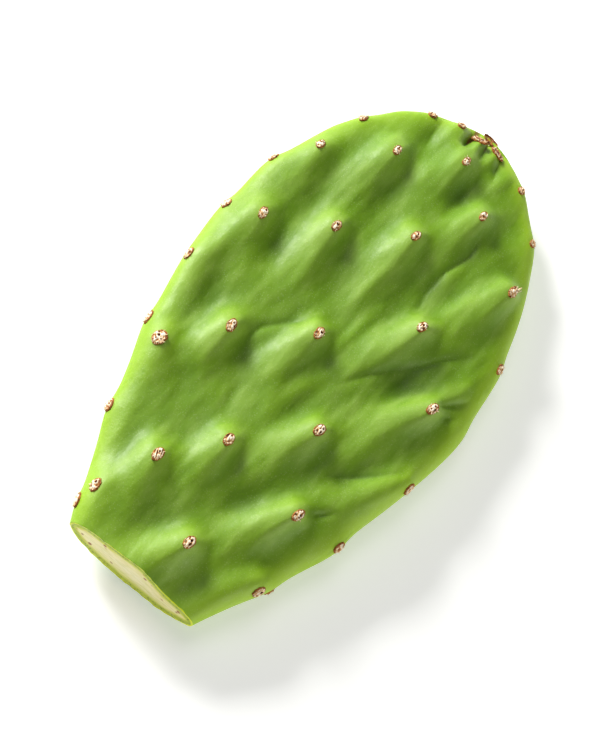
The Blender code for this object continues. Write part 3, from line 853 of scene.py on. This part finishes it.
def oval_frame(heap, dice, wide, long, high):
    """The corky frame: a low uneven ring, and the dark bed inside it."""
    around, profile = 28, [(1.06, -0.55), (1.07, 0.0), (1.0, 0.62), (0.90, 0.72), (0.80, 0.35), (0.45, 0.10)]
    angles = np.linspace(0, math.tau, around, endpoint=False)
    wobble = 1.0 + 0.05 * np.sin(2 * angles + dice.uniform(0, 6)) + 0.04 * dice.standard_normal(around)
    points = [np.column_stack([
        np.cos(angles) * wide / 2 * out * wobble,
        np.sin(angles) * long / 2 * out * wobble,
        np.full(around, up * high) + 0.06 * dice.standard_normal(around) * (out > 0.7),
    ]) for out, up in profile]
    points = np.concatenate(points + [[[0.0, 0.0, 0.1 * high]]])
    faces = []
    for ring in range(len(profile) - 1):
        for k in range(around):
            a, b = ring * around + k, ring * around + (k + 1) % around
            faces.append([a, b, b + around, a + around])
    last = (len(profile) - 1) * around
    for k in range(around):
        faces.append([last + k, last + (k + 1) % around, len(points) - 1])
    heap.put(points, faces, 0, np.zeros(len(points)))


# %% [markdown]
# The first eye of an areole lies toward the tip side, and the loose clumps and bristles lie mostly toward
# the cut. Then comes the seat: the nearest skin under the CAD cushion gives the spot, and
# the average of the skin around it gives the way out.

# %% Build and seat every areole
WOOL_HIGH, CORK_HIGH = 0.85, 0.50  # mm
UNDER_DROP = 0.3  # mm that the tufts of the under face are lowered, so that the lowest reach the table
TABLE_GAP = 0.05  # mm that every tuft stays above the table


def areole_heap(dice, wide, long, ragged, darkness=1.0):
    """One areole in millimetres: x right, y toward the tip, z out of the skin."""
    heap = Heap()
    oval_frame(heap, dice, wide, long, CORK_HIGH)
    eyes = [(dice.uniform(-0.10, 0.14) * wide, dice.uniform(0.06, 0.26) * long, dice.uniform(0.28, 0.48))]
    for _ in range(int(dice.integers(0, 3))):
        eye_x = dice.uniform(-0.3, 0.3) * wide
        eye_y = dice.uniform(-0.28, 0.30) * long
        eyes.append((eye_x, eye_y, dice.uniform(0.22, 0.34)))
    wool_dome(heap, dice, wide, long, eyes, darkness)
    for _ in range(int(3 + 5 * ragged)):
        angle = dice.normal(-math.pi / 2 - 0.2, 0.8 + 0.4 * ragged)
        spot = np.array([math.cos(angle) * wide * 0.34, math.sin(angle) * long * 0.34, 0.35])
        size = dice.uniform(0.26, 0.42)
        comb = np.array([math.cos(angle), math.sin(angle), 0.0]) * dice.uniform(0.2, 0.55)
        clump(heap, dice, spot, (size, size * 1.3, 0.34), comb)
    for _ in range(int(4 + 9 * ragged)):
        angle = dice.normal(-math.pi / 2 - 0.25, 0.8 + 0.6 * ragged)
        base = np.array([math.cos(angle) * wide * 0.33, math.sin(angle) * long * 0.33, 0.35])
        reach = dice.uniform(0.7, 1.25) * (1 + 0.6 * ragged)
        tip = base + np.array([math.cos(angle) * reach * 0.75, math.sin(angle) * reach * 0.8,
                               dice.uniform(0.05, 0.5)])
        rod(heap, base, tip, dice.uniform(0.10, 0.17), 2)
    return heap


def seat_of(centre):
    """Where an areole sits on the skin, and the way out of the skin around it."""
    spot, _, _, _ = skin_tree.find_nearest(Vector(centre))
    total = Vector()
    for dx in (-1.4, 0.0, 1.4):
        for dy in (-1.4, 0.0, 1.4):
            for dz in (-0.7, 0.7):
                found = skin_tree.find_nearest(spot + Vector((dx, dy, dz)) * MM)
                total += found[1]
    heart_line = Vector(in_frame([0.0, from_cut(spot)[1], float(rim_height(from_cut(spot)[1]))]))
    if total.dot(spot - heart_line) < 0:
        total = -total
    return spot, total.normalized()


SIZES = {"areole_top_07": (4.9, 5.2, 1.1), "areole_top_13": (3.2, 4.8, 0.4), "areole_top_19": (3.2, 5.0, 0.7)}
WIDE, LONG = 3.15, 5.0

for order, name in enumerate(sorted(areole_at)):
    dice = np.random.default_rng(100 + order)
    low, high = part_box(name)
    spot, out = seat_of((low + high) / 2)
    share = from_cut(spot)[1] / pad_length
    shrink = 1.0 - 0.28 * max(0.0, share - 0.35) / 0.65
    wide, long, ragged = SIZES.get(name, (WIDE * shrink, LONG * shrink, 0.15 + 0.3 * dice.uniform()))
    darkness = 1.0
    if "rim" in name:
        ragged = 0.5
        if share > 0.93:  # the crown's areoles are small, crowded and dried to a brown crust
            crowded = abs(from_cut(spot)[0]) < 11.0
            wide, long, ragged, darkness = (5.8, 3.2, 1.0, 0.55) if crowded else (2.9, 3.4, 0.5, 0.8)
    heap = areole_heap(dice, wide, long, ragged, darkness)
    if name == "areole_top_19":
        rod(heap, np.array([0.5, 1.5, 0.5]), np.array([0.7, 3.4, 1.2]), 0.34, 2)
        rod(heap, np.array([0.9, 1.2, 0.5]), np.array([1.5, 2.9, 1.0]), 0.22, 2)
    points = np.concatenate(heap.points)
    lean = 0.12 + 0.009 * from_cut(spot)[0] * (1 - share)
    grown = Vector((lean, 1.0, 0.0))
    grown = (grown - out * grown.dot(out)).normalized()
    beside = grown.cross(out)
    place = np.array([beside, grown, out])
    placed = np.array(spot) + (points @ place) * MM
    if "under" in name:
        placed[:, 2] -= UNDER_DROP * MM
    placed[:, 2] = np.maximum(placed[:, 2], TABLE_GAP * MM)
    mesh = bpy.data.meshes.new(name + "_tuft")
    mesh.from_pydata(placed.tolist(), [], heap.faces)
    for finish in (cork_finish, wool_finish, bristle_finish):
        mesh.materials.append(finish)
    mesh.polygons.foreach_set("material_index", heap.finishes)
    mesh.polygons.foreach_set("use_smooth", [True] * len(heap.faces))
    note_on(mesh, "raised", np.concatenate(heap.raised))
    tuft = bpy.data.objects.new(name + "_tuft", mesh)
    bpy.context.scene.collection.objects.link(tuft)
    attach(tuft, "root")
    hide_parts(name)
print(len(areole_at), "areoles seated")

# %% [markdown]
# ## Table, light and camera
#
# Small produce is usually shown on a white table with one big soft light from the side. The side light
# is what makes the tubercles read: one flank of each is bright, the other falls into shade. A weaker
# light from above, a warm white card on the other side and a pale surround keep the shade green.

# %% Table
scene = bpy.context.scene
table_mesh = bpy.data.meshes.new("table")
REACH = 6.0
table_mesh.from_pydata([(-REACH, -REACH, 0), (REACH, -REACH, 0), (REACH, REACH, 0), (-REACH, REACH, 0)],
                       [], [(0, 1, 2, 3)])
table = bpy.data.objects.new("table", table_mesh)
scene.collection.objects.link(table)
table_finish, tree, shader = new_finish("matt_white_table")
place = add(tree, "TexCoord").outputs["Object"]
paper = add(tree, "TexNoise", {"Vector": place}, in_Scale=6.0, in_Detail=2.0)
white = ramp(tree, paper.outputs["Fac"], [(0.3, "#f6f6f5"), (0.7, "#fafafa")])
tree.links.new(white, shader.inputs["Base Color"])
shader.inputs["Roughness"].default_value = 0.9
shader.inputs["Emission Color"].default_value = (1.0, 1.0, 1.0, 1.0)
shader.inputs["Emission Strength"].default_value = 0.34
table_mesh.materials.append(table_finish)

# %% Lights
aim = Vector(in_frame([-0.2, 92.8, 10.0]))


def soft_light(name, from_where, size, power, tint=(1.0, 1.0, 1.0)):
    """A square soft light that looks at the pad."""
    lamp = bpy.data.lights.new(name, "AREA")
    lamp.size, lamp.energy, lamp.color = size, power, tint
    holder = bpy.data.objects.new(name, lamp)
    scene.collection.objects.link(holder)
    holder.location = aim + Vector(from_where)
    holder.rotation_euler = (-Vector(from_where)).to_track_quat("-Z", "Y").to_euler()


soft_light("side_light", (-2.02, 0.76, 0.90), 0.75, 97.0, (1.0, 0.995, 0.98))
soft_light("top_light", (-0.5, 0.60, 2.1), 1.2, 10.0)
soft_light("white_card", (1.6, -0.45, 0.50), 0.9, 11.5, (1.0, 0.97, 0.84))
world = bpy.data.worlds.new("pale_surround")
scene.world = world
world.use_nodes = True
tree = world.node_tree
upward = add(tree, "SeparateXYZ", {"Vector": add(tree, "TexCoord").outputs["Generated"]}).outputs["Z"]
walls = ramp(tree, upward, [(0.0, 0.85), (0.10, 0.80), (0.22, 0.12), (1.0, 0.12)])
tree.links.new(walls, tree.nodes["Background"].inputs["Color"])
scene.view_settings.view_transform = "Standard"

# %% [markdown]
# The camera looks down on the pad, tilted toward the cut end, and is rolled so that the pad lies
# diagonally in the frame. Its lens is long, as for a small object, so the pad keeps its proportions.

# %% Camera
TILT, ROLL, DISTANCE = math.radians(27.0), math.radians(39.92), 1.1
camera = bpy.data.cameras.new("camera")
camera.sensor_width, camera.lens = 36.0, 164.0
camera_object = bpy.data.objects.new("camera", camera)
scene.collection.objects.link(camera_object)
look = Vector((0.0, math.sin(TILT), -math.cos(TILT)))
up_pad_seen = Vector((0.0, math.cos(TILT), math.sin(TILT)))
across_seen = Vector((1.0, 0.0, 0.0))
up = up_pad_seen * math.cos(ROLL) - across_seen * math.sin(ROLL)
right = up_pad_seen * math.sin(ROLL) + across_seen * math.cos(ROLL)
camera_object.matrix_world = (
    Matrix.Translation(aim - look * DISTANCE) @ Matrix((right, up, -look)).transposed().to_4x4()
)
scene.camera = camera_object
